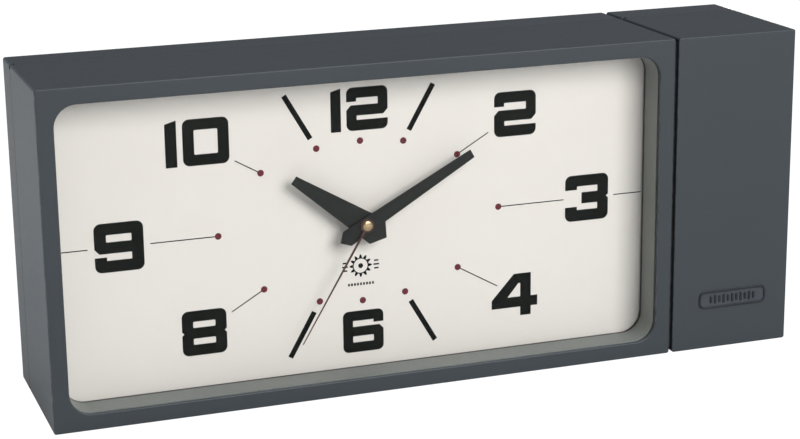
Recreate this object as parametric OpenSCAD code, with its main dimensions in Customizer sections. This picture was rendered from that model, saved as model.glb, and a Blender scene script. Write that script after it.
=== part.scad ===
// Wide steel wall clock in the style of a time recorder, with a quartz movement.
// Millimetres. X to the right, Y to the back, Z up; the origin is at the middle of the base.

/* [Case] */
// overall width
body_w = 470; // [460:1:520]
// overall height
body_h = 200; // [196:1:240]
// overall depth
body_d = 104; // [100:1:140]
// width of the side block
block_w = 79.8; // [70:0.1:100]
// groove between the clock case and the side block
groove_w = 2.2; // [1.6:0.1:4]
// sheet thickness of the case
sheet_t = 1.2; // [1:0.1:2]
// depth of the front shells
shell_d = 79; // [76:1:84]
// gap of the seam between shell and back cover
seam_gap = 0.3; // [0.2:0.1:0.6]
// radius of the case edges
edge_r = 1.5; // [1.2:0.1:2]

/* [Badge] */
// length of the badge
badge_w = 47; // [40:1:50]
// height of the badge
badge_h = 11.6; // [10:0.2:14]
// height of the badge over the front face
badge_t = 0.8; // [0.4:0.1:1.2]

/* [Window] */
// width of the frame around the window
bezel_w = 10; // [10:0.5:12]
// corner radius of the window
window_r = 13; // [8:0.5:16]
// depth of the dial behind the front face
dial_depth = 24; // [22:0.5:28]
// thickness of the glass
glass_t = 2; // [2:0.1:3]
// thickness of the window gasket
gasket_t = 0.5; // [0.4:0.1:0.8]
// thickness of the dial plate
dial_t = 1; // [0.8:0.1:1.2]
// thickness of the printed ink
ink_t = 0.1; // [0.1:0.05:0.2]

/* [Hands] */
// angle of the hour hand, clockwise from twelve
hour_angle = 305.6; // [0:0.1:360]
// angle of the minute hand, clockwise from twelve
minute_angle = 60.7; // [0:0.1:360]
// angle of the second hand, clockwise from twelve
second_angle = 211.1; // [0:0.1:360]
// length of the hour hand from the axis
hour_len = 54; // [44:0.5:60]
// length of the minute hand from the axis
minute_len = 77; // [60:0.5:80]
// length of the second hand from the axis
second_len = 80.5; // [60:0.5:84]
// thickness of the hour and minute hands
hand_t = 0.6; // [0.4:0.1:0.8]

/* [Back] */
// width of the access opening
access_w = 110; // [80:1:120]
// height of the access opening
access_h = 100; // [70:1:110]
// distance between the two keyholes
hang_pitch = 240; // [200:5:260]
// radius of the keyhole entry
hang_r = 4.5; // [4:0.1:5]
// height of the keyholes above the base
hang_z = 172; // [168:1:174]

/* [Movement] */
// side of the square movement case
move_w = 56; // [56:0.5:58]
// depth of the movement case
move_d = 16; // [16:0.5:18]
// radial clearance of the tubes and shafts
run_gap = 0.08; // [0.06:0.01:0.1]
// thinning of each gear tooth
backlash = 0.08; // [0.06:0.01:0.12]
// distance from the centre to the third wheel
third_cd = 12; // [12:0.1:12.2]
// distance from the centre to the motion wheel
motion_cd = 10; // [10:0.1:10.2]

/* [Hidden] */
front_y = -body_d / 2 + badge_t;
back_y = body_d / 2;
left_x = -body_w / 2;
right_x = body_w / 2;
case_r_x = right_x - block_w - groove_w;
block_l_x = right_x - block_w;
seam_y = front_y + shell_d;
dial_x = (left_x + case_r_x) / 2;
dial_z = body_h / 2;
dial_y = front_y + dial_depth;
glass_y = front_y + sheet_t + gasket_t;
reveal_y = glass_y + glass_t;
win_hw = (case_r_x - left_x) / 2 - bezel_w;
win_hh = body_h / 2 - bezel_w;
washer_t = 1;
frame_t = 1.5;
dot_r = 2;
move_y = dial_y + dial_t + washer_t;
boss_in = 13;
screw_in = 4.8;
neck_in = sheet_t + 0.4;
neck_out = neck_in + sheet_t;
lug_y = seam_y - 9.5;
tie_pos = [for (y = [front_y + 39.5, front_y + 59.5]) for (z = [40, body_h - 40]) [y, z]];
// gear train: module of each mesh follows from its centre distance
inter_cd = 12.25;
rotor_cd = 10.8;
m_rotor = 2 * rotor_cd / 72;
m_inter = 2 * inter_cd / 70;
m_third = 2 * third_cd / 72;
m_centre = 2 * third_cd / 68;
m_cannon = 2 * motion_cd / 48;
m_hour = 2 * motion_cd / 50;
third_p = [-third_cd, 0];
inter_p = [0, inter_cd];
rotor_p = [rotor_cd, inter_cd];
motion_a = -15;
knob_a = -30;
motion_p = [motion_cd * cos(motion_a), motion_cd * sin(motion_a)];
knob_p = [motion_p[0] + motion_cd * cos(knob_a), motion_p[1] + motion_cd * sin(knob_a)];
m_knob = m_cannon;
$fn = 48;

// ---------- helpers ----------

// flat shape in X and Z given a thickness from y0 to y1
module slab(y0, y1) {
  translate([0, y1, 0])
    rotate([90, 0, 0])
      linear_extrude(y1 - y0) children();
}

module ycyl(p, y0, y1, r) {
  translate([p[0], y0, p[1]])
    rotate([-90, 0, 0])
      cylinder(h = y1 - y0, r = r);
}

module xcyl(x0, x1, y, z, r) {
  translate([x0, y, z])
    rotate([0, 90, 0])
      cylinder(h = x1 - x0, r = r);
}

module rrect(x0, x1, z0, z1, r) {
  translate([x0 + r, z0]) square([x1 - x0 - 2 * r, z1 - z0]);
  translate([x0, z0 + r]) square([x1 - x0, z1 - z0 - 2 * r]);
  for (x = [x0 + r, x1 - r])
    for (z = [z0 + r, z1 - r])
      translate([x, z]) circle(r = r);
}

module at_move() {
  translate([dial_x, move_y, dial_z]) children();
}

// outline of the clock case, moved inwards by i
module case_outline(i, r) {
  rrect(left_x + i, case_r_x - i, i, body_h - i, r);
}

module block_outline(i, r) {
  rrect(block_l_x + i, right_x - i, i, body_h - i, r);
}

module window_outline(grow) {
  rrect(dial_x - win_hw - grow, dial_x + win_hw + grow, dial_z - win_hh - grow, dial_z + win_hh + grow,
    window_r + grow);
}

// small relief cut at each folded corner, on the seam
module corner_relief(x0, x1) {
  for (x = [x0, x1])
    for (z = [0, body_h])
      translate([x - 3, seam_y - 1.8, z - 3]) cube([6, 3.9, 6]);
}

function corners(x0, x1, i) = [[x0 + i, i], [x0 + i, body_h - i], [x1 - i, i], [x1 - i, body_h - i]];

// ---------- involute gears ----------

press_a = 25;
function inv_deg(a) = tan(a) * 180 / PI - a;
function roll_a(rb, r) = r <= rb ? 0 : acos(rb / r);
// half tooth angle at radius r
function half_deg(z, m, r, bl) =
  let (rp = m * z / 2, rb = rp * cos(press_a))
  (PI * m / 2 - bl) / (2 * rp) * 180 / PI + inv_deg(press_a) - inv_deg(roll_a(rb, max(r, rb)));
function polar(r, a) = [r * cos(a), r * sin(a)];
function tooth_r(z, m, add, ded) =
  let (rp = m * z / 2, rb = rp * cos(press_a), ra = rp + add * m, rf = rp - ded * m, r0 = max(rb, rf))
  [rf, r0, r0 + (ra - r0) * 0.35, r0 + (ra - r0) * 0.7, ra];
function tooth_pts(z, m, rs, bl, c) = concat(
  [for (i = [0:4]) polar(rs[i], c - half_deg(z, m, rs[i], bl))],
  [for (i = [4:-1:0]) polar(rs[i], c + half_deg(z, m, rs[i], bl))]
);
function gear_pts(z, m, add, ded, bl, phase) =
  let (rs = tooth_r(z, m, add, ded))
  [for (k = [0:z - 1]) each tooth_pts(z, m, rs, bl, phase + k * 360 / z)];

module wheel2d(z, m, phase) {
  polygon(gear_pts(z, m, 0.7, 1.15, backlash, phase));
}

module pinion2d(z, m, phase) {
  polygon(gear_pts(z, m, 0.9, 0.95, backlash, phase));
}

// mesh phases: every driver aims a tooth at its mate and the mate a gap at the driver
function ang(a, b) = atan2(b[1] - a[1], b[0] - a[0]);
function gap_at(dir, z) = dir + 180 / z;

// ---------- clock case ----------

// front plate of the case with the window, welded to the wrap
module front_plate() color([0.30, 0.32, 0.36])
  slab(front_y, front_y + sheet_t)
    difference() {
      case_outline(0, edge_r);
      window_outline(0);
    }

// folded sheet that makes the four walls of the case
module case_wrap() color([0.30, 0.32, 0.36])
  difference() {
    slab(front_y + sheet_t, seam_y) case_outline(0, edge_r);
    slab(front_y, seam_y + 1) case_outline(sheet_t, edge_r);
    corner_relief(left_x, case_r_x);
    for (p = tie_pos)
      xcyl(case_r_x - sheet_t - 1, case_r_x + 1, p[0], p[1], 2.7);
  }

// lugs welded to the walls in front of the dial plate
module dial_lugs() color([0.34, 0.35, 0.37])
  for (p = dial_screw_pos())
    difference() {
      dial_lug(p);
      ycyl(p, front_y + 10, dial_y, 1.25);
    }

// lugs welded into the corners that take the long cover screws
module corner_lugs() color([0.34, 0.35, 0.37])
  for (p = corners(left_x, case_r_x, boss_in))
    difference() {
      corner_lug(p, left_x, case_r_x);
      ycyl(p, lug_y - 9, seam_y, 1.65);
    }

module block_lugs() color([0.34, 0.35, 0.37])
  for (p = corners(block_l_x, right_x, boss_in))
    difference() {
      corner_lug(p, block_l_x, right_x);
      ycyl(p, lug_y - 9, seam_y, 1.65);
    }

function dial_screw_pos() = [
  for (x = [left_x + 24, dial_x, case_r_x - 24]) for (z = [screw_in, body_h - screw_in]) [x, z],
  [left_x + screw_in, dial_z],
  [case_r_x - screw_in, dial_z]
];

module dial_lug(p) {
  wide = abs(p[1] - dial_z) > 1;
  w = wide ? 6 : (screw_in + 2.6 - sheet_t) / 2;
  h = wide ? (screw_in + 2.6 - sheet_t) / 2 : 6;
  cx = wide ? p[0] : (p[0] < dial_x ? left_x + sheet_t + w : case_r_x - sheet_t - w);
  cz = wide ? (p[1] < dial_z ? sheet_t + h : body_h - sheet_t - h) : p[1];
  translate([cx - w, dial_y - 16, cz - h]) cube([2 * w, 16 - frame_t, 2 * h]);
}

module corner_lug(p, x0, x1) {
  sx = p[0] < (x0 + x1) / 2 ? x0 + sheet_t : p[0] - 5;
  sz = p[1] < body_h / 2 ? sheet_t : p[1] - 5;
  w = boss_in + 5 - sheet_t;
  slab(lug_y - 8, lug_y) rrect(sx, sx + w, sz, sz + w, edge_r + 0.3);
}

module window_gasket() color([0.07, 0.07, 0.08])
  slab(front_y + sheet_t, glass_y)
    difference() {
      window_outline(4);
      window_outline(0.6);
    }

module glass() color([0.8, 0.88, 0.9, 0.35])
  slab(glass_y, reveal_y) window_outline(4);

// painted tunnel between the glass and the dial
module reveal_frame() color([0.42, 0.44, 0.45])
  slab(reveal_y, dial_y - frame_t)
    difference() {
      window_outline(1.5);
      window_outline(0.1);
    }

// flat frame at the end of the tunnel that the dial plate is screwed to
module dial_frame() color([0.42, 0.44, 0.45])
  difference() {
    slab(dial_y - frame_t, dial_y)
      difference() {
        rrect(left_x + 2.6, case_r_x - 2.6, 2.6, body_h - 2.6, 2);
        window_outline(0.9);
      }
    for (p = dial_screw_pos())
      ycyl(p, dial_y - 3, dial_y + 1, 1.7);
  }

module dial_plate() color([0.93, 0.91, 0.87])
  difference() {
    slab(dial_y, dial_y + dial_t)
      rrect(left_x + 2.6, case_r_x - 2.6, 2.6, body_h - 2.6, 2);
    ycyl([dial_x, dial_z], dial_y - 1, dial_y + dial_t + 1, 4.1);
    for (p = dial_screw_pos())
      ycyl(p, dial_y - 1, dial_y + dial_t + 1, 1.7);
  }

// pan head screw along Y, its head towards the back
module back_screw(p, tip_y, seat_y, r, head_r, head_h) {
  difference() {
    union() {
      ycyl(p, tip_y, seat_y + 0.2, r);
      ycyl(p, seat_y, seat_y + head_h, head_r);
    }
    for (a = [0, 90])
      translate([p[0], seat_y + head_h - 0.9, p[1]])
        rotate([0, a, 0])
          translate([-head_r * 0.6, 0, -0.45]) cube([head_r * 1.2, 2, 0.9]);
  }
}

module dial_screws() color([0.72, 0.72, 0.72])
  for (p = dial_screw_pos())
    back_screw(p, dial_y - 9, dial_y + dial_t, 1.25, 2.1, 1.8);

// ---------- dial print ----------

module print_slab() {
  translate([dial_x, 0, dial_z])
    slab(dial_y - ink_t, dial_y) children();
}

module box2(x0, x1, z0, z1) {
  translate([x0, z0]) square([x1 - x0, z1 - z0]);
}

module rbox(w, h, r) {
  rrect(-w / 2, w / 2, -h / 2, h / 2, r);
}

module digit_0() {
  difference() {
    rbox(27.4, 27.5, 4);
    rbox(14, 14.5, 0.8);
  }
}

module digit_1(w, h) {
  polygon([[-w / 2, -h / 2], [w / 2, -h / 2], [w / 2, h / 2], [-w / 2, h / 2 - 1.9]]);
}

module digit_2() {
  difference() {
    rbox(27.2, 27.6, 4);
    box2(-7.1, 7.1, 2.5, 7);
    box2(-14.6, -7, 2.5, 4.8);
    box2(-6.9, 14.6, -7, -4.2);
    polygon([[-14, 2.6], [-14, -0.6], [-13.6, -0.6], [-10.6, 2.6]]);
    polygon([[14, -4.3], [14, -1], [13.6, -1], [10.6, -4.3]]);
  }
}

module digit_3() {
  difference() {
    rbox(28.5, 28.7, 4);
    box2(-15.3, -3.4, -5.3, 5.3);
    box2(-6.4, 7.1, 3.5, 7.4);
    box2(-6.4, 7.1, -7.4, -3.5);
    polygon([[15, 1.8], [12.7, 0], [15, -1.8]]);
  }
}

module digit_4() {
  difference() {
    union() {
      polygon([[-15.25, -8.1], [15.25, -8.1], [15.25, -1.6], [10.85, -1.6], [10.85, 13.4], [-0.5, 13.4],
        [-15.25, -2.6]]);
      box2(3.8, 10.85, -13.8, -8);
    }
    polygon([[-4.7, -1.5], [3.8, -1.5], [3.8, 7.2], [2.5, 7.2]]);
  }
}

module digit_6() {
  rotate(180) digit_9();
}

module digit_8() {
  difference() {
    rbox(27, 27.5, 4);
    translate([0, 5.2]) rbox(13.4, 3.8, 0.6);
    translate([0, -5.2]) rbox(13.4, 3.8, 0.6);
    polygon([[14.5, 2.2], [12.2, 0], [14.5, -2.2]]);
    polygon([[-14.5, 2.2], [-12.2, 0], [-14.5, -2.2]]);
  }
}

module digit_9() {
  difference() {
    rbox(28.4, 28.8, 4);
    translate([0, 5.4]) rbox(14.6, 4.3, 0.6);
    box2(-7.2, 7.2, -7.5, -3.4);
    box2(-15, -7, -5.4, -3.4);
    polygon([[-15, -3.3], [-15, -0.4], [-14.2, -0.4], [-11.3, -3.5]]);
  }
}

module put(x, z, s) {
  translate([x, z]) scale([s, s]) children();
}

module dial_numerals() color([0.15, 0.16, 0.15])
  print_slab() {
    put(-14.7, 68.5, 0.942) digit_1(6.6, 27.6);
    put(4.7, 68.5, 0.942) digit_2();
    put(98.9, 57.2, 1) digit_2();
    put(147, 0, 1.018) digit_3();
    put(98.9, -57.4, 1) digit_4();
    put(0, -68.65, 0.905) digit_6();
    put(-98.3, -57.4, 1) digit_8();
    put(-146.5, 0, 1.015) digit_9();
    put(-113.85, 57.2, 1) digit_1(6.8, 27.5);
    put(-93.25, 57.2, 1) digit_0();
  }

// distance of a dot on the oval track, at a clockwise from twelve
function oval_r(a) = 1 / sqrt(pow(sin(a) / 88, 2) + pow(cos(a) / 49.3, 2));
function dot_rim(a) = oval_r(a) + dot_r + 0.05;

// radial strip between two distances from the dial centre, a clockwise from twelve
module ray(a, r0, r1, w) {
  rotate(-a) box2(-w / 2, w / 2, r0, r1);
}

module dial_lines() color([0.2, 0.21, 0.2])
  print_slab() {
    for (a = [30, 150, 210, 330])
      ray(a, 61.3, 92.3, 3.2);
    ray(60, dot_rim(60), 94.1, 0.6);
    ray(120, dot_rim(120), 100.8, 0.6);
    ray(240, dot_rim(240), 94, 0.6);
    ray(300, dot_rim(300), 88.3, 0.6);
    ray(90, dot_rim(90), 131.5, 0.6);
    ray(90, 165.2, win_hw, 0.6);
    ray(270, dot_rim(270), 128.3, 0.6);
    ray(270, 164.8, win_hw, 0.6);
  }

module dial_dots() color([0.45, 0.14, 0.17])
  print_slab()
    for (a = [0:30:330])
      rotate(-a) translate([0, oval_r(a)]) circle(r = dot_r);

module dial_emblem() color([0.2, 0.21, 0.2])
  print_slab()
    translate([-1, -27.5]) {
      difference() {
        polygon(gear_pts(12, 1, 1.2, 0.9, 0, 0));
        circle(r = 4.4);
      }
      circle(r = 1.5);
      for (s = [-1, 1])
        for (k = [-1:1])
          translate([s * 9.9, 2.4 * k]) square([3.6 - 0.8 * abs(k), 0.9], center = true);
      // row of ticks below the cog
      for (k = [-4:4])
        translate([1.9 * k, -11.4]) square([1.1, 1.6], center = true);
    }

// ---------- back of the clock case ----------

module back_tray(x0, x1) {
  difference() {
    slab(seam_y + seam_gap, back_y) rrect(x0, x1, 0, body_h, edge_r);
    slab(seam_y, back_y - sheet_t)
      rrect(x0 + sheet_t, x1 - sheet_t, sheet_t, body_h - sheet_t, edge_r);
    corner_relief(x0, x1);
    for (p = corners(x0, x1, boss_in))
      ycyl(p, back_y - sheet_t - 1, back_y + 1, 4.4);
  }
}

// flange welded inside a cover's edge, which slips into the front shell
module locating_flange(x0, x1) {
  difference() {
    union() {
      slab(seam_y - 8, seam_y + seam_gap + 0.5)
        rrect(x0 + neck_in, x1 - neck_in, neck_in, body_h - neck_in, 1.2);
      slab(seam_y + seam_gap, seam_y + 9)
        rrect(x0 + sheet_t, x1 - sheet_t, sheet_t, body_h - sheet_t, 1.5);
    }
    slab(seam_y - 9, seam_y + 10)
      rrect(x0 + neck_out, x1 - neck_out, neck_out, body_h - neck_out, 1);
    corner_relief(x0, x1);
  }
}

// tubes around the long screws, with a seat for each screw head
module screw_tubes(x0, x1) {
  for (p = corners(x0, x1, boss_in))
    difference() {
      ycyl(p, lug_y, back_y - sheet_t, 6);
      ycyl(p, lug_y - 1, back_y, 2.25);
      ycyl(p, back_y - 3.2, back_y, 4.4);
    }
}

module keyhole(x, z) {
  translate([x, z]) circle(r = hang_r);
  translate([x - 2.5, z]) square([5, 11]);
  translate([x, z + 11]) circle(r = 2.5);
}

function hang_x(s) = s * hang_pitch / 2;

module back_cover() color([0.30, 0.32, 0.36])
  difference() {
    back_tray(left_x, case_r_x);
    slab(back_y - sheet_t - 1, back_y + 1)
      rrect(dial_x - access_w / 2, dial_x + access_w / 2, dial_z - access_h / 2, dial_z + access_h / 2, 6);
    slab(back_y - sheet_t - 1, back_y + 1)
      for (s = [-1, 1])
        keyhole(hang_x(s), hang_z);
    // vent slots below the access opening
    slab(back_y - sheet_t - 1, back_y + 1)
      for (k = [-4:4])
        translate([dial_x + k * 12, 30]) rbox(4, 22, 1.9);
  }

module cover_flange() color([0.34, 0.35, 0.37])
  locating_flange(left_x, case_r_x);

module cover_tubes() color([0.34, 0.35, 0.37])
  screw_tubes(left_x, case_r_x);

module case_screws() color([0.6, 0.6, 0.6])
  for (p = corners(left_x, case_r_x, boss_in))
    back_screw(p, lug_y - 7, back_y - 3.2, 1.65, 3.8, 2.6);

// stiffening plates welded behind the keyholes
module hanger_plates() color([0.62, 0.63, 0.64])
  for (s = [-1, 1])
    slab(back_y - sheet_t - 2, back_y - sheet_t)
      difference() {
        rrect(hang_x(s) - 14, hang_x(s) + 14, hang_z - 12, hang_z + 20, 2);
        keyhole(hang_x(s), hang_z);
      }

module case_spacer() color([0.04, 0.04, 0.05])
  difference() {
    translate([case_r_x, front_y + 3, 3])
      cube([groove_w, body_d - 6, body_h - 6]);
    for (p = tie_pos)
      xcyl(case_r_x - 1, block_l_x + 1, p[0], p[1], 2.7);
  }

module tie_bolts() color([0.6, 0.6, 0.6])
  for (p = tie_pos) {
    xcyl(case_r_x - sheet_t - 7, block_l_x + sheet_t + 0.2, p[0], p[1], 2.5);
    translate([block_l_x + sheet_t, p[0], p[1]])
      rotate([0, 90, 0])
        cylinder(h = 3.5, r = 4.6, $fn = 6);
  }

module tie_nuts() color([0.6, 0.6, 0.6])
  for (p = tie_pos)
    difference() {
      translate([case_r_x - sheet_t - 4, p[0], p[1]])
        rotate([0, 90, 0])
          cylinder(h = 4, r = 4.6, $fn = 6);
      xcyl(case_r_x - sheet_t - 5, case_r_x, p[0], p[1], 2.5);
    }

// ---------- side block ----------

badge_x = right_x - 38.5;
badge_z = 31.8;

module block_shell() color([0.30, 0.32, 0.36])
  difference() {
    slab(front_y, seam_y) block_outline(0, edge_r);
    slab(front_y + sheet_t, seam_y + 1) block_outline(sheet_t, edge_r);
    corner_relief(block_l_x, right_x);
    for (p = tie_pos)
      xcyl(block_l_x - 1, block_l_x + sheet_t + 1, p[0], p[1], 2.7);
  }

module block_cover() color([0.30, 0.32, 0.36])
  back_tray(block_l_x, right_x);

module block_flange() color([0.34, 0.35, 0.37])
  locating_flange(block_l_x, right_x);

module block_tubes() color([0.34, 0.35, 0.37])
  screw_tubes(block_l_x, right_x);

module block_screws() color([0.6, 0.6, 0.6])
  for (p = corners(block_l_x, right_x, boss_in))
    back_screw(p, lug_y - 7, back_y - 3.2, 1.65, 3.8, 2.6);

module badge_plate() color([0.30, 0.32, 0.36])
  translate([badge_x, 0, badge_z]) {
    slab(front_y - badge_t * 0.3, front_y) rbox(badge_w, badge_h, 4);
    slab(front_y - badge_t, front_y - badge_t * 0.2)
      difference() {
        rbox(badge_w, badge_h, 4);
        rbox(badge_w - 2.6, badge_h - 2.6, 2.7);
      }
    slab(front_y - badge_t, front_y - badge_t * 0.2)
      for (k = [-5:5])
        translate([k * 3, 0]) rbox(1.4, badge_h / 2, 0.6);
  }

// ---------- movement ----------

cover_posts = [[-24.2, 24.2], [24.2, 24.2], [-24.2, -9.1]];

module movement_case() color([0.10, 0.10, 0.11])
  at_move() {
    h = move_w / 2;
    difference() {
      slab(0, move_d) rrect(-h, h, -h, h, 2);
      slab(1.4, move_d + 1) box2(-h + 1.2, h - 1.2, -11.7, h - 1.2);
      slab(1.2, move_d + 1) box2(-h + 1.2, h - 1.2, -h + 1.2, -12.5);
      ycyl([0, 0], -1, 2, 4);
      for (p = [third_p, inter_p, rotor_p, knob_p])
        ycyl(p, 0.4, 2, p == knob_p ? 1.08 : 0.68);
    }
    for (p = cover_posts)
      difference() {
        ycyl(p, 1.3, 14.4, 2);
        ycyl(p, 6, 15, 0.8);
      }
    // post of the motion wheel
    ycyl(motion_p, 1.3, 5, 0.9);
    // rests of the stator, of the coil core and of the circuit board
    ycyl([11.5, 20.6], 1.3, 8.1, 1);
    for (p = [[21.2, 20.6], [21.2, 0]])
      ycyl(p, 1.3, 7.1, 1);
    for (p = [[-20, 15], [-12, 24]])
      ycyl(p, 1.3, 9.5, 1);
  }

module movement_cover() color([0.16, 0.16, 0.17])
  at_move() {
    h = move_w / 2;
    difference() {
      slab(14.4, move_d) box2(-h + 1.2, h - 1.2, -11.7, h - 1.2);
      for (p = [third_p, inter_p, rotor_p, [0, 0]])
        ycyl(p, 14, 15.4, 0.68);
      ycyl(knob_p, 14, move_d + 1, 1.58);
      for (p = cover_posts)
        ycyl(p, 14, move_d + 1, 1.1);
    }
  }

module movement_screws() color([0.7, 0.7, 0.7])
  at_move()
    for (p = cover_posts)
      back_screw(p, 8, move_d, 0.8, 1.8, 1.2);

module threaded_bush() color([0.78, 0.62, 0.35])
  at_move()
    difference() {
      union() {
        ycyl([0, 0], -8, 1.6, 4);
        ycyl([0, 0], 1.4, 2, 5.5);
      }
      ycyl([0, 0], -9, 3, 2.5 + run_gap);
    }

module rubber_washer() color([0.05, 0.05, 0.05])
  at_move()
    difference() {
      ycyl([0, 0], -washer_t, 0, 9);
      ycyl([0, 0], -2, 1, 4);
    }

module dial_washer() color([0.78, 0.62, 0.35])
  at_move()
    difference() {
      ycyl([0, 0], -2.6, -2, 7);
      ycyl([0, 0], -3, -1, 4);
    }

module hex_nut() color([0.78, 0.62, 0.35])
  at_move()
    difference() {
      translate([0, -4.8, 0])
        rotate([-90, 0, 0])
          cylinder(h = 2.2, r = 6.9, $fn = 6);
      ycyl([0, 0], -5, -2, 4);
    }

module stator() color([0.66, 0.66, 0.64])
  at_move()
    slab(8.1, 9.1)
      difference() {
        union() {
          translate(rotor_p) circle(r = 6);
          box2(8, 22.7, 19.2, 22);
          box2(8, 22.7, -1.6, 1.4);
          box2(8, 13.6, 0, 21);
        }
        translate(rotor_p) circle(r = 3.7);
      }

module coil_core() color([0.6, 0.6, 0.58])
  at_move()
    slab(7.1, 8.1) box2(19.7, 22.7, -1.6, 22);

module coil_z(z0, z1, r) {
  translate([21.2, 7.6, z0]) cylinder(h = z1 - z0, r = r);
}

module coil_bobbin() color([0.9, 0.9, 0.86])
  at_move()
    difference() {
      union() {
        coil_z(2.2, 18.8, 2.4);
        coil_z(2.2, 3, 4.8);
        coil_z(18, 18.8, 4.8);
      }
      translate([19.7, 7.1, 1]) cube([3, 1, 20]);
    }

module coil_winding() color([0.72, 0.38, 0.18])
  at_move()
    difference() {
      coil_z(3, 18, 4.2);
      coil_z(2, 19, 2.4);
    }

module circuit_board() color([0.15, 0.36, 0.2])
  at_move() {
    slab(9.5, 10.3) box2(-21.6, -10, 13, 26.2);
    ycyl([-17.5, 21.5], 10.2, 11.4, 2.6);
  }

module quartz_crystal() color([0.75, 0.75, 0.77])
  at_move()
    translate([-20, 11.3, 15.5])
      rotate([0, 90, 0])
        cylinder(h = 7, r = 1);

module rotor() color([0.35, 0.35, 0.38])
  at_move() {
    slab(11.2, 12.6)
      translate(rotor_p) pinion2d(12, m_rotor, ang(rotor_p, inter_p));
    ycyl(rotor_p, 7, 10.2, 3.2);
    ycyl(rotor_p, 0.5, 15.3, 0.6);
  }

module intermediate_wheel() color([0.9, 0.9, 0.88])
  at_move() {
    slab(11.4, 12.2)
      translate(inter_p) wheel2d(60, m_rotor, gap_at(ang(inter_p, rotor_p), 60));
    slab(9.4, 11.5)
      translate(inter_p) pinion2d(10, m_inter, ang(inter_p, [0, 0]));
    ycyl(inter_p, 0.5, 15.3, 0.6);
  }

module seconds_wheel() color([0.85, 0.85, 0.82])
  at_move() {
    slab(9.6, 10.4) wheel2d(60, m_inter, gap_at(ang([0, 0], inter_p), 60));
    slab(7.4, 9.7) pinion2d(8, m_third, ang([0, 0], third_p));
    ycyl([0, 0], -13.6, 15.3, 0.6);
  }

module third_wheel() color([0.9, 0.9, 0.88])
  at_move() {
    slab(7.6, 8.4)
      translate(third_p) wheel2d(64, m_third, gap_at(ang(third_p, [0, 0]), 64));
    slab(5.2, 7.7)
      translate(third_p) pinion2d(8, m_centre, ang(third_p, [0, 0]));
    ycyl(third_p, 0.5, 15.3, 0.6);
  }

module centre_wheel() color([0.8, 0.66, 0.38])
  at_move()
    difference() {
      union() {
        slab(5.4, 6.2) wheel2d(60, m_centre, gap_at(ang([0, 0], third_p), 60));
        slab(3.6, 5.5) pinion2d(12, m_cannon, ang([0, 0], motion_p));
        ycyl([0, 0], -12.7, 6.8, 1.55);
      }
      ycyl([0, 0], -14, 8, 0.6 + run_gap);
    }

module motion_wheel() color([0.9, 0.9, 0.88])
  at_move()
    difference() {
      union() {
        slab(3.8, 4.6)
          translate(motion_p) wheel2d(36, m_cannon, gap_at(ang(motion_p, [0, 0]), 36));
        slab(2.1, 3.9)
          translate(motion_p) pinion2d(10, m_hour, ang(motion_p, [0, 0]));
      }
      ycyl(motion_p, 1, 6, 0.9 + run_gap);
    }

module hour_wheel() color([0.85, 0.85, 0.82])
  at_move()
    difference() {
      union() {
        slab(2.3, 3.2) wheel2d(40, m_hour, gap_at(ang([0, 0], motion_p), 40));
        ycyl([0, 0], -11.3, 2.4, 2.5);
      }
      ycyl([0, 0], -12, 4, 1.55 + run_gap);
    }

// phase of the knob pinion follows from the motion wheel's phase
knob_phase = knob_a + 180 + 180 / 12
  + (knob_a - gap_at(ang(motion_p, [0, 0]), 36)) * 36 / 12;

module setting_knob() color([0.12, 0.12, 0.13])
  at_move() {
    slab(3.6, 4.8)
      translate(knob_p) pinion2d(12, m_knob, knob_phase);
    ycyl(knob_p, 0.5, 3.7, 1);
    ycyl(knob_p, 4.7, move_d + 0.6, 1.5);
    difference() {
      ycyl(knob_p, move_d + 0.4, move_d + 3.4, 5);
      for (k = [0:17])
        ycyl([knob_p[0] + 5.25 * cos(k * 20), knob_p[1] + 5.25 * sin(k * 20)], move_d, move_d + 4, 0.5);
    }
  }

batt_z = -19.65;

module contact_plus() color([0.75, 0.75, 0.77])
  at_move()
    translate([move_w / 2 - 1.6, 2, batt_z - 5]) cube([0.4, 12, 10]);

module contact_minus() color([0.75, 0.75, 0.77])
  at_move() {
    translate([-move_w / 2 + 1.2, 2, batt_z - 5]) cube([0.4, 12, 10]);
    translate([-move_w / 2 + 1.5, 6.4, batt_z - 2]) cube([1.6, 0.4, 4]);
    translate([-move_w / 2 + 1.5, 10.4, batt_z - 2]) cube([1.6, 0.4, 4]);
    translate([-move_w / 2 + 2.8, 6.4, batt_z - 2]) cube([0.4, 4.4, 4]);
  }

module battery() color([0.2, 0.42, 0.36])
  at_move() {
    translate([-move_w / 2 + 3.2, 8.6, batt_z])
      rotate([0, 90, 0])
        cylinder(h = 49.4, r = 7);
    translate([25, 8.6, batt_z])
      rotate([0, 90, 0])
        cylinder(h = 1.4, r = 2.75);
  }

// ---------- hands ----------

module hand2d(len, tip_hw, tail_u, tail_hw, point_u) {
  polygon([[-tip_hw, len], [tip_hw, len], [tail_hw, -tail_u], [0, -point_u], [-tail_hw, -tail_u]]);
}

module hour_hand() color([0.12, 0.13, 0.13])
  at_move()
    difference() {
      union() {
        slab(-11.2, -11.2 + hand_t)
          rotate(-hour_angle) hand2d(hour_len, 2.7, 8.6, 8.6, 15.6);
        ycyl([0, 0], -10.8, -8.9, 3.6);
      }
      ycyl([0, 0], -12, -8, 2.5);
    }

module minute_hand() color([0.12, 0.13, 0.13])
  at_move()
    difference() {
      union() {
        slab(-12.6, -12.6 + hand_t)
          rotate(-minute_angle) hand2d(minute_len, 2.75, 14.2, 5.2, 19);
        ycyl([0, 0], -12.2, -11.6, 3);
      }
      ycyl([0, 0], -13, -11, 1.55);
    }

module second_hand() color([0.36, 0.20, 0.18])
  at_move()
    difference() {
      union() {
        slab(-13.6, -13.2)
          rotate(-second_angle)
            polygon([[-0.3, second_len], [0.3, second_len], [0.75, 0], [-0.75, 0]]);
        ycyl([0, 0], -13.6, -13.2, 4.2);
      }
      ycyl([0, 0], -14, -13, 0.6);
    }

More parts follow.
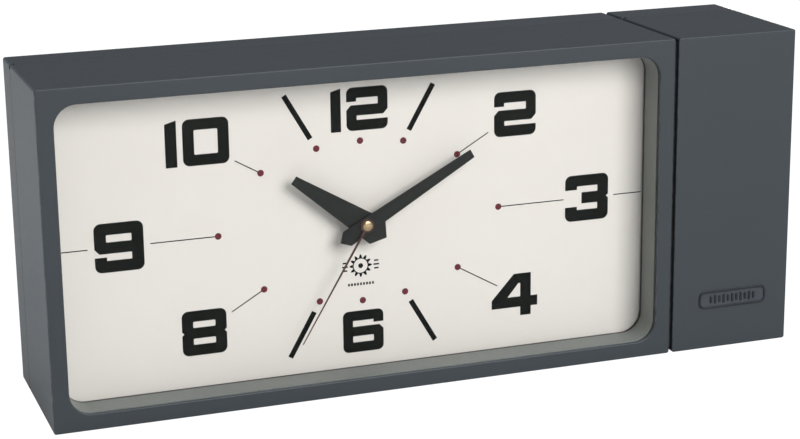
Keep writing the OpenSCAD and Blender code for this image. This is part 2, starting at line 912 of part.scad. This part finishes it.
module hand_boss() color([0.82, 0.68, 0.42])
  at_move() {
    ycyl([0, 0], -14.2, -13.6, 3.1);
    ycyl([0, 0], -14.6, -14.1, 2.3);
  }

front_plate();
case_wrap();
window_gasket();
glass();
reveal_frame();
dial_frame();
dial_plate();
dial_numerals();
dial_lines();
dial_dots();
dial_emblem();
dial_screws();
dial_lugs();
corner_lugs();
back_cover();
cover_flange();
cover_tubes();
case_screws();
hanger_plates();
case_spacer();
tie_bolts();
tie_nuts();
block_shell();
block_lugs();
block_cover();
block_flange();
block_tubes();
block_screws();
badge_plate();
movement_case();
movement_cover();
movement_screws();
threaded_bush();
rubber_washer();
dial_washer();
hex_nut();
stator();
coil_core();
coil_bobbin();
coil_winding();
circuit_board();
quartz_crystal();
rotor();
intermediate_wheel();
seconds_wheel();
third_wheel();
centre_wheel();
motion_wheel();
hour_wheel();
setting_knob();
contact_plus();
contact_minus();
battery();
hour_hand();
minute_hand();
second_hand();
hand_boss();
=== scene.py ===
import bmesh
import bpy
import math
from mathutils import Matrix, Vector


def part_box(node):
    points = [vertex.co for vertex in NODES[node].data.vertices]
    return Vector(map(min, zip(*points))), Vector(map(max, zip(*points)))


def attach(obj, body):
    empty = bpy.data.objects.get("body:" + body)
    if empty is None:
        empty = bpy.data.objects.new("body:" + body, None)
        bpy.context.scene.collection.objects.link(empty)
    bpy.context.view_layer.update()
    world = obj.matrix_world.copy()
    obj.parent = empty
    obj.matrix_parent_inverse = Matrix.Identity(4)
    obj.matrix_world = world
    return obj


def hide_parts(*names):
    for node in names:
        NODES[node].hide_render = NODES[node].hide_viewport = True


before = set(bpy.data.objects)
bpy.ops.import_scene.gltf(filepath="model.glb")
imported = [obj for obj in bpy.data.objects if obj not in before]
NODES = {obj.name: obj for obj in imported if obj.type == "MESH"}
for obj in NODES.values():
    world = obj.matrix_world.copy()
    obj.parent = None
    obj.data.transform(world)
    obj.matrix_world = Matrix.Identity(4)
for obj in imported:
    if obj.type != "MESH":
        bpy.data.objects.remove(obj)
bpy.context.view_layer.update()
# one millimetre in metres
MM = 0.001
# thickness of the case's sheet in mm
SHEET = 1.2
# strength of the white that the camera sees behind the object
WHITE_LEVEL = 1.06


def box_mm(node):
    lo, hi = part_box(node)
    return [v / MM for v in lo], [v / MM for v in hi]


# ---------------------------------------------------------------- materials

def new_material(name):
    mat = bpy.data.materials.new(name)
    mat.use_nodes = True
    tree = mat.node_tree
    shader = tree.nodes["Principled BSDF"]
    coord = tree.nodes.new("ShaderNodeTexCoord")
    return mat, tree, shader, coord.outputs["Object"]


def noise(tree, vector, scale, detail=3.0, rough=0.55, stretch=None):
    if stretch:
        mapping = tree.nodes.new("ShaderNodeMapping")
        mapping.inputs["Scale"].default_value = stretch
        tree.links.new(vector, mapping.inputs["Vector"])
        vector = mapping.outputs["Vector"]
    node = tree.nodes.new("ShaderNodeTexNoise")
    node.inputs["Scale"].default_value = scale
    node.inputs["Detail"].default_value = detail
    node.inputs["Roughness"].default_value = rough
    tree.links.new(vector, node.inputs["Vector"])
    return node.outputs["Fac"]


def remap(tree, value, a, b, c, d):
    node = tree.nodes.new("ShaderNodeMapRange")
    node.inputs["From Min"].default_value = a
    node.inputs["From Max"].default_value = b
    node.inputs["To Min"].default_value = c
    node.inputs["To Max"].default_value = d
    tree.links.new(value, node.inputs["Value"])
    return node.outputs["Result"]


def math_node(tree, op, a, b):
    node = tree.nodes.new("ShaderNodeMath")
    node.operation = op
    for i, v in enumerate((a, b)):
        if isinstance(v, (int, float)):
            node.inputs[i].default_value = v
        else:
            tree.links.new(v, node.inputs[i])
    return node.outputs[0]


def mix_color(tree, fac, a, b):
    node = tree.nodes.new("ShaderNodeMix")
    node.data_type = "RGBA"
    tree.links.new(fac, node.inputs["Factor"])
    for i, v in ((6, a), (7, b)):
        if isinstance(v, (tuple, list)):
            node.inputs[i].default_value = (*v[:3], 1)
        else:
            tree.links.new(v, node.inputs[i])
    return node.outputs[2]


def finish_bump(tree, shader, height, strength, distance):
    bump = tree.nodes.new("ShaderNodeBump")
    bump.inputs["Strength"].default_value = strength
    bump.inputs["Distance"].default_value = distance
    tree.links.new(height, bump.inputs["Height"])
    tree.links.new(bump.outputs["Normal"], shader.inputs["Normal"])


def surface(name, base, second, rough, spread=0.06, metal=0.0, vary=18.0, grain=1400.0, bump=0.1,
            depth=0.00008, wear=None, wear_at=(0.53, 0.60), stretch=None, specular=0.5):
    """Base finish: cloudy colour, grain bump, uneven gloss and lighter or darker worn edges."""
    mat, tree, shader, obj = new_material(name)
    clouds = remap(tree, noise(tree, obj, vary, 5, 0.6, stretch), 0.36, 0.64, 0, 1)
    color = mix_color(tree, clouds, base, second)
    if wear:
        geo = tree.nodes.new("ShaderNodeNewGeometry")
        edge = remap(tree, geo.outputs["Pointiness"], wear_at[0], wear_at[1], 0, 1)
        patch = remap(tree, noise(tree, obj, 260, 4), 0.4, 0.62, 0.1, 1)
        color = mix_color(tree, math_node(tree, "MULTIPLY", edge, patch), color, wear)
    tree.links.new(color, shader.inputs["Base Color"])
    uneven = noise(tree, obj, grain * 0.09, 4, 0.6, stretch)
    gloss = remap(tree, uneven, 0.3, 0.7, rough - spread, rough + spread)
    tree.links.new(gloss, shader.inputs["Roughness"])
    shader.inputs["Metallic"].default_value = metal
    shader.inputs["Specular IOR Level"].default_value = specular
    finish_bump(tree, shader, noise(tree, obj, grain, 2, 0.5, stretch), bump, depth)
    return mat


CASE = surface("case_paint", (0.0340, 0.0417, 0.0490), (0.0368, 0.0447, 0.0518), 0.42, 0.02, vary=7,
               grain=2600, bump=0.05, wear=(0.075, 0.082, 0.090), wear_at=(0.57, 0.72), specular=0.36)
# dark primer of the inside parts, made near-black: partly the primer's colour, partly painted shade, so that
# the notches, the seam and the line round the dial read as deep shade
INNER_PRIMER_AND_SHADE = surface("inner_primer_and_shade", (0.0085, 0.0090, 0.0095), (0.0130, 0.0135, 0.0140), 0.6, 0.08, vary=40,
                grain=900, bump=0.2, wear=(0.05, 0.05, 0.05), wear_at=(0.56, 0.7), specular=0.25)
DIAL = surface("dial_enamel", (0.745, 0.690, 0.650), (0.760, 0.704, 0.666), 0.6, 0.04, vary=14, grain=2600,
               bump=0.05, specular=0.3)
INK = surface("ink_black", (0.0068, 0.0080, 0.0068), (0.0098, 0.0110, 0.0094), 0.5, 0.06, vary=60,
              grain=2600, bump=0.1, specular=0.06)
RED = surface("ink_red", (0.110, 0.011, 0.018), (0.135, 0.017, 0.024), 0.5, 0.06, vary=200, grain=2600,
              bump=0.1, specular=0.3)
LINE = surface("ink_line", (0.0050, 0.0060, 0.0050), (0.0090, 0.0100, 0.0085), 0.55, 0.06, vary=120,
               grain=2600, bump=0.1, specular=0.06)
HAND = surface("hand_black", (0.0095, 0.0108, 0.0092), (0.0125, 0.0140, 0.0120), 0.42, 0.05, vary=80,
               grain=2400, bump=0.08, wear=(0.045, 0.046, 0.044), wear_at=(0.55, 0.7), specular=0.3)
NEEDLE = surface("hand_brown", (0.062, 0.024, 0.020), (0.085, 0.034, 0.027), 0.38, 0.06, vary=90, grain=2400,
                 bump=0.08, wear=(0.20, 0.12, 0.09), wear_at=(0.55, 0.7), specular=0.5)
BRASS = surface("brass", (0.64, 0.47, 0.28), (0.54, 0.38, 0.21), 0.27, 0.1, metal=1.0, vary=300, grain=2200,
                bump=0.1, wear=(0.86, 0.70, 0.44), stretch=(1, 0.2, 1))
STEEL = surface("zinc_steel", (0.50, 0.51, 0.53), (0.62, 0.61, 0.56), 0.33, 0.1, metal=1.0, vary=140,
                grain=1800, bump=0.12, wear=(0.80, 0.80, 0.80))
BARE = surface("electrical_steel", (0.40, 0.40, 0.39), (0.47, 0.46, 0.44), 0.42, 0.1, metal=1.0, vary=160,
               grain=1500, bump=0.15, wear=(0.65, 0.65, 0.64), stretch=(1, 1, 0.15))
RUBBER = surface("black_rubber", (0.010, 0.010, 0.011), (0.017, 0.017, 0.018), 0.72, 0.08, vary=90,
                 grain=900, bump=0.3, wear=(0.04, 0.04, 0.04), specular=0.25)
PLASTIC = surface("black_plastic", (0.013, 0.013, 0.015), (0.018, 0.018, 0.020), 0.44, 0.08, vary=60,
                  grain=1100, bump=0.35, depth=0.00012, wear=(0.05, 0.05, 0.055))
GREY = surface("grey_plastic", (0.030, 0.030, 0.033), (0.040, 0.040, 0.043), 0.5, 0.08, vary=60, grain=1000,
               bump=0.4, depth=0.00012, wear=(0.08, 0.08, 0.085))
WHITE = surface("white_plastic", (0.74, 0.72, 0.66), (0.80, 0.78, 0.72), 0.34, 0.08, vary=120, grain=1400,
                bump=0.1, wear=(0.92, 0.91, 0.88))
BOARD = surface("board_green", (0.012, 0.085, 0.030), (0.020, 0.120, 0.045), 0.35, 0.06, vary=260, grain=900,
                bump=0.25, wear=(0.30, 0.28, 0.16))
MAGNET = surface("magnet_dark", (0.045, 0.045, 0.05), (0.065, 0.063, 0.066), 0.4, 0.1, metal=0.7, vary=300,
                 grain=1200, bump=0.3, wear=(0.20, 0.20, 0.20))


def copper_winding():
    """Lacquered copper wire, wound in fine turns along Z."""
    mat, tree, shader, obj = new_material("copper_wire")
    wave = tree.nodes.new("ShaderNodeTexWave")
    wave.bands_direction = "Z"
    wave.inputs["Scale"].default_value = 950
    wave.inputs["Distortion"].default_value = 1.2
    wave.inputs["Detail"].default_value = 2
    tree.links.new(obj, wave.inputs["Vector"])
    color = mix_color(tree, wave.outputs["Fac"], (0.20, 0.055, 0.018), (0.52, 0.17, 0.06))
    tree.links.new(color, shader.inputs["Base Color"])
    shader.inputs["Metallic"].default_value = 0.85
    tree.links.new(remap(tree, noise(tree, obj, 300), 0.3, 0.7, 0.28, 0.42), shader.inputs["Roughness"])
    finish_bump(tree, shader, wave.outputs["Fac"], 0.7, 0.0001)
    return mat


def cell_sleeve():
    """Shrink sleeve of the cell: green body, pale end band and a thin stripe, with fine scuffs."""
    mat, tree, shader, obj = new_material("cell_wrap")
    split = tree.nodes.new("ShaderNodeSeparateXYZ")
    tree.links.new(obj, split.inputs[0])
    lo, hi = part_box("battery")
    x = split.outputs[0]
    end = remap(tree, x, hi[0] - 0.0146, hi[0] - 0.0144, 0, 1)
    stripe = math_node(tree, "MULTIPLY", remap(tree, x, hi[0] - 0.0182, hi[0] - 0.0181, 0, 1),
                       remap(tree, x, hi[0] - 0.0169, hi[0] - 0.0168, 1, 0))
    body = mix_color(tree, remap(tree, noise(tree, obj, 150, 4), 0.38, 0.62, 0, 1), (0.012, 0.105, 0.085),
                     (0.018, 0.130, 0.105))
    banded = mix_color(tree, end, body, (0.62, 0.60, 0.52))
    color = mix_color(tree, stripe, banded, (0.62, 0.60, 0.52))
    tree.links.new(color, shader.inputs["Base Color"])
    tree.links.new(remap(tree, noise(tree, obj, 420, 4), 0.3, 0.7, 0.22, 0.38), shader.inputs["Roughness"])
    finish_bump(tree, shader, noise(tree, obj, 700, 2), 0.12, 0.0001)
    return mat


def clear_glass():
    """Thin flat pane: a clear body with the surface gloss of glass and a faint dust haze."""
    mat, tree, shader, obj = new_material("clear_glass")
    tree.nodes.remove(shader)
    clear = tree.nodes.new("ShaderNodeBsdfTransparent")
    clear.inputs["Color"].default_value = (0.985, 0.992, 0.988, 1)
    gloss = tree.nodes.new("ShaderNodeBsdfGlossy")
    gloss.inputs["Color"].default_value = (1, 1, 1, 1)
    tree.links.new(remap(tree, noise(tree, obj, 40, 4), 0.4, 0.7, 0.01, 0.05), gloss.inputs["Roughness"])
    fresnel = tree.nodes.new("ShaderNodeFresnel")
    fresnel.inputs["IOR"].default_value = 1.45
    fac = math_node(tree, "MULTIPLY", fresnel.outputs[0], 0.06)
    mix = tree.nodes.new("ShaderNodeMixShader")
    tree.links.new(fac, mix.inputs[0])
    tree.links.new(clear.outputs[0], mix.inputs[1])
    tree.links.new(gloss.outputs[0], mix.inputs[2])
    out = tree.nodes["Material Output"]
    tree.links.new(mix.outputs[0], out.inputs["Surface"])
    return mat


def reveal_paint(painted_shadow_y):
    """Satin grey paint of the tunnel; from a given depth back to the dial it turns near-black, a painted
    shadow for the dark line where the tunnel meets the dial.
    """
    mat, tree, shader, obj = new_material("reveal_paint")
    split = tree.nodes.new("ShaderNodeSeparateXYZ")
    tree.links.new(obj, split.inputs[0])
    clouds = remap(tree, noise(tree, obj, 12, 5), 0.36, 0.64, 0, 1)
    paint = mix_color(tree, clouds, (0.182, 0.192, 0.180), (0.196, 0.205, 0.194))
    # painted shadow: near-black over the tunnel's last stretch in front of the dial
    painted_shadow_mask = remap(tree, split.outputs[1], painted_shadow_y, painted_shadow_y + 0.00015, 0, 1)
    tree.links.new(mix_color(tree, painted_shadow_mask, paint, (0.010, 0.011, 0.010)), shader.inputs["Base Color"])
    tree.links.new(remap(tree, noise(tree, obj, 234, 4), 0.3, 0.7, 0.47, 0.53), shader.inputs["Roughness"])
    shader.inputs["Specular IOR Level"].default_value = 0.4
    finish_bump(tree, shader, noise(tree, obj, 2600, 2), 0.05, 0.00008)
    return mat


def badge_paint(low, high):
    """Case paint of the badge, darker towards the front: the rim and rib tops that stand furthest forward
    are painted near-black as painted shade of the relief, and the parts further back take a tone a little
    lighter than the case.
    """
    mat, tree, shader, obj = new_material("badge_paint")
    split = tree.nodes.new("ShaderNodeSeparateXYZ")
    tree.links.new(obj, split.inputs[0])
    clouds = remap(tree, noise(tree, obj, 60, 4), 0.36, 0.64, 0, 1)
    # a tone a little lighter than the case paint, for the sunk field and the feet further back
    rear_tone = mix_color(tree, clouds, (0.040, 0.047, 0.056), (0.050, 0.058, 0.068))
    # painted shade: near-black, for the rim and rib tops that stand furthest forward
    front_painted_shade = mix_color(tree, clouds, (0.0105, 0.0125, 0.0150), (0.0150, 0.0175, 0.0205))
    color = mix_color(tree, remap(tree, split.outputs[1], low, high, 1, 0), rear_tone, front_painted_shade)
    tree.links.new(color, shader.inputs["Base Color"])
    tree.links.new(remap(tree, noise(tree, obj, 240, 4), 0.3, 0.7, 0.38, 0.48), shader.inputs["Roughness"])
    shader.inputs["Specular IOR Level"].default_value = 0.36
    finish_bump(tree, shader, noise(tree, obj, 2600, 2), 0.05, 0.00008)
    return mat


COPPER = copper_winding()
SLEEVE = cell_sleeve()
GLASS = clear_glass()

# ---------------------------------------------------------------- mesh helpers


def add_object(name, verts, faces, mat, body, slot, smooth=30):
    mesh = bpy.data.meshes.new(name)
    mesh.from_pydata([Vector(v) * MM for v in verts], [], faces)
    mesh.validate()
    bm = bmesh.new()
    bm.from_mesh(mesh)
    bmesh.ops.remove_doubles(bm, verts=bm.verts, dist=1e-7)
    bmesh.ops.recalc_face_normals(bm, faces=bm.faces)
    bm.to_mesh(mesh)
    bm.free()
    mesh.materials.append(mat)
    obj = bpy.data.objects.new(name, mesh)
    bpy.context.scene.collection.objects.link(obj)
    shade(obj, smooth)
    even = obj.modifiers.new("normals", "WEIGHTED_NORMAL")
    even.keep_sharp = True
    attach(obj, body)
    return obj


def shade(obj, angle):
    mesh = obj.data
    for poly in mesh.polygons:
        poly.use_smooth = True
    mesh.set_sharp_from_angle(angle=math.radians(angle))


def rounded(x0, x1, z0, z1, r, n=7):
    """Rounded rectangle in X and Z, always with 4 * (n + 1) points."""
    r = max(r, 0.02)
    pts = []
    corners = ((x1 - r, z0 + r, -90), (x1 - r, z1 - r, 0), (x0 + r, z1 - r, 90), (x0 + r, z0 + r, 180))
    for cx, cz, a0 in corners:
        for k in range(n + 1):
            a = math.radians(a0 + 90 * k / n)
            pts.append((cx + r * math.cos(a), cz + r * math.sin(a)))
    return pts


def circle(cx, cz, r, n=48):
    turns = [2 * math.pi * k / n for k in range(n)]
    return [(cx + r * math.cos(a), cz + r * math.sin(a)) for a in turns]


def loft(rings, ring_closed=False, cap_first=False, cap_last=False):
    """Skins a list of (points in X and Z, y) rings that all have as many points."""
    n = len(rings[0][0])
    verts = [(x, y, z) for pts, y in rings for x, z in pts]
    faces = []
    count = len(rings)
    for i in range(count if ring_closed else count - 1):
        a, b = i * n, ((i + 1) % count) * n
        for k in range(n):
            m = (k + 1) % n
            faces.append((a + k, a + m, b + m, b + k))
    if cap_first:
        faces.append(tuple(range(n)))
    if cap_last:
        faces.append(tuple(range((count - 1) * n, count * n)))
    return verts, faces


def join_parts(parts):
    verts, faces = [], []
    for v, f in parts:
        base = len(verts)
        verts += v
        faces += [tuple(base + i for i in face) for face in f]
    return verts, faces


def lathe_y(cx, cz, profile, n=48):
    """Turns (radius, y) pairs about an axis along Y."""
    rings = [(circle(cx, cz, max(r, 0.001), n), y) for r, y in profile]
    return loft(rings, cap_first=True, cap_last=True)


def cut(obj, boxes):
    """Takes boxes (x0, x1, y0, y1, z0, z1) in mm out of a piece's mesh."""
    sides = [(0, 1, 3, 2), (4, 6, 7, 5), (0, 4, 5, 1), (2, 3, 7, 6), (0, 2, 6, 4), (1, 5, 7, 3)]
    parts = []
    for x0, x1, y0, y1, z0, z1 in boxes:
        parts.append(([(x, y, z) for x in (x0, x1) for y in (y0, y1) for z in (z0, z1)], sides))
    verts, faces = join_parts(parts)
    mesh = bpy.data.meshes.new("cutter")
    mesh.from_pydata([Vector(v) * MM for v in verts], [], faces)
    cutter = bpy.data.objects.new("cutter", mesh)
    bpy.context.scene.collection.objects.link(cutter)
    mod = obj.modifiers.new("cut", "BOOLEAN")
    mod.operation = "DIFFERENCE"
    mod.solver = "EXACT"
    mod.object = cutter
    graph = bpy.context.evaluated_depsgraph_get()
    result = bpy.data.meshes.new_from_object(obj.evaluated_get(graph))
    obj.modifiers.remove(mod)
    old = obj.data
    obj.data = result
    bpy.data.meshes.remove(old)
    bpy.data.objects.remove(cutter)
    bpy.data.meshes.remove(mesh)
    shade(obj, 30)


def carry(names, mat, bevel=0.0, segments=2):
    """Gives CAD nodes a finish and, where wanted, small rounded edges."""
    for name in names.split():
        obj = NODES[name]
        obj.data.materials.clear()
        obj.data.materials.append(mat)
        if bevel:
            weld = obj.modifiers.new("weld", "WELD")
            weld.merge_threshold = 2e-6
            mod = obj.modifiers.new("edges", "BEVEL")
            mod.width = bevel * MM
            mod.segments = segments
            mod.limit_method = "ANGLE"
            mod.angle_limit = math.radians(35)
            mod.use_clamp_overlap = True
            mod.harden_normals = False
            fix = obj.modifiers.new("normals", "WEIGHTED_NORMAL")
            fix.keep_sharp = False


# ---------------------------------------------------------------- case

# the glass reaches this far behind the window's edge, all round
GLASS_LAP = 4
# radius of the window's corners
WINDOW_R = 13.0

block_lo, block_hi = box_mm("block_shell")
glass_lo, glass_hi = box_mm("glass")
L, FRONT, _ = box_mm("front_plate")[0]
R, SEAM, H = box_mm("case_wrap")[1]
BL, BR = block_lo[0], block_hi[0]
CX, CZ = (L + R) / 2, H / 2
WX0, WX1 = glass_lo[0] + GLASS_LAP, glass_hi[0] - GLASS_LAP
WZ0, WZ1 = glass_lo[2] + GLASS_LAP, glass_hi[2] - GLASS_LAP


def window(grow, y):
    return (rounded(WX0 - grow, WX1 + grow, WZ0 - grow, WZ1 + grow, WINDOW_R + grow, 10), y)


def outer(x0, x1, inset, y, r=1.5):
    return (rounded(x0 + inset, x1 - inset, inset, H - inset, max(r - inset, 0.3), 10), y)


def edge_profile(x0, x1, y, r):
    """Rings that turn from the front face round to the side with radius r."""
    out = []
    for k in range(6):
        a = math.radians(90 * k / 5)
        out.append(outer(x0, x1, r * (1 - math.sin(a)), y + r * (1 - math.cos(a))))
    return out


def shell_sides(x0, x1):
    """Side walls, the turned edge at the seam and the inside."""
    return [outer(x0, x1, 0, SEAM - 0.3), outer(x0, x1, 0.1, SEAM - 0.08), outer(x0, x1, 0.3, SEAM),
            outer(x0, x1, SHEET, SEAM), outer(x0, x1, SHEET, FRONT + SHEET)]


def relief(x0, x1):
    return [(x - 3, x + 3, SEAM - 1.5, SEAM + 2.1, z - 3, z + 3) for x in (x0, x1) for z in (0, H)]


def lip():
    """The window's rolled lip, from inside the opening to the front face."""
    r = 1.0
    rings = [window(0, FRONT + SHEET)]
    for k in range(6):
        a = math.radians(90 * k / 5)
        rings.append(window(r * (1 - math.cos(a)), FRONT + r * (1 - math.sin(a))))
    return rings


front_rings = lip() + edge_profile(L, R, FRONT, 0.8) + shell_sides(L, R)
case_shell = add_object("case_shell", *loft(front_rings, ring_closed=True), CASE, "case", "case_paint")
cut(case_shell, relief(L, R))
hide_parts("front_plate", "case_wrap")


# a small outline in the middle of the block's front, where its two faces are capped
face_middle = rounded(BL + 30, BR - 30, 60, 140, 2, 10)
block_rings = ([(face_middle, FRONT)] + edge_profile(BL, BR, FRONT, 0.8)
               + shell_sides(BL, BR) + [(face_middle, FRONT + SHEET)])
block = add_object("block_shell_skin", *loft(block_rings, cap_first=True, cap_last=True), CASE, "case",
                   "case_paint")
cut(block, relief(BL, BR))
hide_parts("block_shell")

# reveal: the painted tunnel from the glass to the frame around the dial, with turned edges
gy = glass_hi[1]
reveal_end = box_mm("reveal_frame")[1][1]
# the tunnel's last 2.3 mm in front of the dial carry the painted shadow
REVEAL = reveal_paint((reveal_end - 2.3) * MM)
reveal_rings = [window(0.1, gy + 0.5), window(0.25, gy + 0.15), window(0.6, gy), window(1.5, gy),
                window(1.5, reveal_end), window(0.4, reveal_end), window(0.15, reveal_end - 0.1),
                window(0.1, reveal_end - 0.3)]
reveal = add_object("reveal_tunnel", *loft(reveal_rings, ring_closed=True), REVEAL, "case", "reveal_paint")
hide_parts("reveal_frame")

# ---------------------------------------------------------------- badge

badge_lo, badge_hi = box_mm("badge_plate")
bx0, by0, bz0 = badge_lo
bx1, by1, bz1 = badge_hi


def badge_ring(inset, y):
    return (rounded(bx0 + inset, bx1 - inset, bz0 + inset, bz1 - inset, max(4 - inset, 0.4), 8), y)


rise = by1 - by0
# the badge's rim from its outer foot over the top and down to the ground: inset in mm, share of the rise
rim = [(0, 0), (0.04, 0.60), (0.14, 0.88), (0.35, 1.0),
       (1.15, 1.0), (1.36, 0.88), (1.46, 0.60), (1.55, 0.20)]
# the painted shade is full on the relief above three quarters of its rise and fades out below 35% of it
BADGE = badge_paint((by1 - rise * 0.75) * MM, (by1 - rise * 0.35) * MM)
badge_parts = [loft([badge_ring(i, by1 - rise * h) for i, h in rim], cap_last=True)]
for k in range(-5, 6):
    x = (bx0 + bx1) / 2 + 3 * k
    hz = 2.9 if k % 2 == 0 else 2.3
    z = (bz0 + bz1) / 2

    def rib(i, h):
        outline = rounded(x - 0.8 + i, x + 0.8 - i, z - hz + i, z + hz - i, max(0.8 - i, 0.05), 4)
        return (outline, by1 - rise * h)
    badge_parts.append(loft([rib(0, 0.15), rib(0.04, 0.65), rib(0.14, 0.9), rib(0.34, 1.0)], cap_last=True))
badge = add_object("badge_relief", *join_parts(badge_parts), BADGE, "case", "case_paint", 40)
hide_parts("badge_plate")

# ---------------------------------------------------------------- hand boss

boss_lo, boss_hi = box_mm("hand_boss")
b0, b1 = boss_lo[1], boss_hi[1]
# radius and depth of the domed cap, from its crown to its foot
dome = [(0.01, b0 + 0.02), (0.8, b0 + 0.02), (1.5, b0 + 0.06), (2.2, b0 + 0.16), (2.75, b0 + 0.32),
        (3.0, b0 + 0.52), (3.1, b0 + 0.72), (3.1, b1 - 0.12), (2.95, b1)]
boss = add_object("boss_cap", *lathe_y(CX, CZ, dome), BRASS, "seconds_arbor", "brass", 40)
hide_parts("hand_boss")

# ---------------------------------------------------------------- carried CAD nodes

carry("back_cover block_cover", CASE, 0.35)
# their near-black adds painted shade in the corner notches and the seam
carry("corner_lugs dial_lugs block_lugs cover_flange block_flange cover_tubes block_tubes", INNER_PRIMER_AND_SHADE, 0.2)
carry("dial_plate", DIAL)
# the frame's near-black adds painted shade to the real shade of the groove round the dial
carry("dial_frame", INNER_PRIMER_AND_SHADE)
carry("dial_numerals dial_emblem", INK)
carry("dial_lines", LINE)
carry("dial_dots", RED)
carry("glass", GLASS)
carry("window_gasket case_spacer rubber_washer", RUBBER)
carry("case_screws block_screws dial_screws movement_screws tie_bolts tie_nuts", STEEL, 0.12)
carry("hanger_plates quartz_crystal contact_plus contact_minus", STEEL, 0.08)
carry("hour_hand minute_hand", HAND, 0.12)
carry("second_hand", NEEDLE, 0.06)
carry("threaded_bush dial_washer hex_nut", BRASS, 0.15)
carry("centre_wheel", BRASS)
carry("movement_case setting_knob", PLASTIC, 0.2)
carry("movement_cover", GREY, 0.15)
carry("intermediate_wheel seconds_wheel third_wheel motion_wheel hour_wheel", WHITE)
carry("coil_bobbin", WHITE, 0.1)
carry("stator coil_core", BARE, 0.08)
carry("coil_winding", COPPER)
carry("circuit_board", BOARD)
carry("rotor", MAGNET)
carry("battery", SLEEVE, 0.5)

# ---------------------------------------------------------------- stage, lights, camera


def stage_floor():
    mesh = bpy.data.meshes.new("floor")
    # half the floor's side, and its height just under the object, in metres
    half, z = 6.0, -0.0004
    corners = [(-half, -half, z), (half, -half, z), (half, half, z), (-half, half, z)]
    mesh.from_pydata(corners, [], [(0, 1, 2, 3)])
    mat, tree, shader, obj = new_material("floor")
    color = mix_color(tree, noise(tree, obj, 3), (0.62, 0.62, 0.62), (0.65, 0.65, 0.65))
    tree.links.new(color, shader.inputs["Base Color"])
    shader.inputs["Roughness"].default_value = 0.9
    shader.inputs["Specular IOR Level"].default_value = 0.1
    white = tree.nodes.new("ShaderNodeEmission")
    white.inputs["Color"].default_value = (1, 1, 1, 1)
    white.inputs["Strength"].default_value = WHITE_LEVEL
    path = tree.nodes.new("ShaderNodeLightPath")
    mix = tree.nodes.new("ShaderNodeMixShader")
    tree.links.new(path.outputs["Is Camera Ray"], mix.inputs[0])
    tree.links.new(shader.outputs[0], mix.inputs[1])
    tree.links.new(white.outputs[0], mix.inputs[2])
    tree.links.new(mix.outputs[0], tree.nodes["Material Output"].inputs["Surface"])
    mesh.materials.append(mat)
    floor = bpy.data.objects.new("floor", mesh)
    bpy.context.scene.collection.objects.link(floor)


def area_light(name, where, aim, size_x, size_y, watts, color=(1, 1, 1)):
    data = bpy.data.lights.new(name, "AREA")
    data.shape = "RECTANGLE"
    data.size = size_x
    data.size_y = size_y
    data.energy = watts
    data.color = color
    lamp = bpy.data.objects.new(name, data)
    lamp.location = where
    lamp.rotation_euler = (Vector(aim) - Vector(where)).to_track_quat("-Z", "Y").to_euler()
    bpy.context.scene.collection.objects.link(lamp)
    return lamp


def world_light():
    world = bpy.data.worlds.new("studio")
    bpy.context.scene.world = world
    world.use_nodes = True
    tree = world.node_tree
    back = tree.nodes["Background"]
    back.inputs["Color"].default_value = (0.95, 0.97, 1.0, 1)
    back.inputs["Strength"].default_value = 0.24
    white = tree.nodes.new("ShaderNodeBackground")
    white.inputs["Color"].default_value = (1, 1, 1, 1)
    white.inputs["Strength"].default_value = WHITE_LEVEL
    path = tree.nodes.new("ShaderNodeLightPath")
    mix = tree.nodes.new("ShaderNodeMixShader")
    tree.links.new(path.outputs["Is Camera Ray"], mix.inputs[0])
    tree.links.new(back.outputs[0], mix.inputs[1])
    tree.links.new(white.outputs[0], mix.inputs[2])
    tree.links.new(mix.outputs[0], tree.nodes["World Output"].inputs["Surface"])


def place_camera():
    """A long lens that looks from the left and above, rolled by under a degree."""
    az, el, roll = math.radians(-19.46), math.radians(15.33), math.radians(-0.74)
    back = Vector((math.sin(az) * math.cos(el), -math.cos(az) * math.cos(el), math.sin(el)))
    right = (-back).cross(Vector((0, 0, 1))).normalized()
    up = right.cross(-back)
    r2 = math.cos(roll) * right + math.sin(roll) * up
    u2 = -math.sin(roll) * right + math.cos(roll) * up
    where = Vector(((L - 178.5) * MM, (FRONT - 1099.3) * MM, 0.4251))
    data = bpy.data.cameras.new("camera")
    data.sensor_width = 36
    data.lens = 92.66
    data.clip_start = 0.01
    data.clip_end = 50
    cam = bpy.data.objects.new("camera", data)
    cam.matrix_world = Matrix(((r2.x, u2.x, back.x, where.x), (r2.y, u2.y, back.y, where.y),
                               (r2.z, u2.z, back.z, where.z), (0, 0, 0, 1)))
    bpy.context.scene.collection.objects.link(cam)
    bpy.context.scene.camera = cam


stage_floor()
world_light()
# the low side panel lights the case without mirroring in its top face
side_panel = area_light("left_panel", (-1.7, 0.5, 0.24), (-0.2, 0.0, 0.1), 1.4, 0.36, 41,
                        (1.0, 0.955, 0.90))
side_panel.visible_glossy = False
area_light("back_fill", (0.95, 2.1, 0.1), (0.0, 0.05, 0.1), 1.2, 0.16, 32)
area_light("front_key", (0.75, -2.1, 1.2), (0.0, -0.05, 0.1), 1.6, 1.5, 59)
area_light("top_fill", (0.3, -0.2, 2.4), (0, 0, 0.1), 1.4, 1.4, 18, (0.78, 0.89, 1.0))
place_camera()
bpy.context.scene.view_settings.view_transform = "Standard"
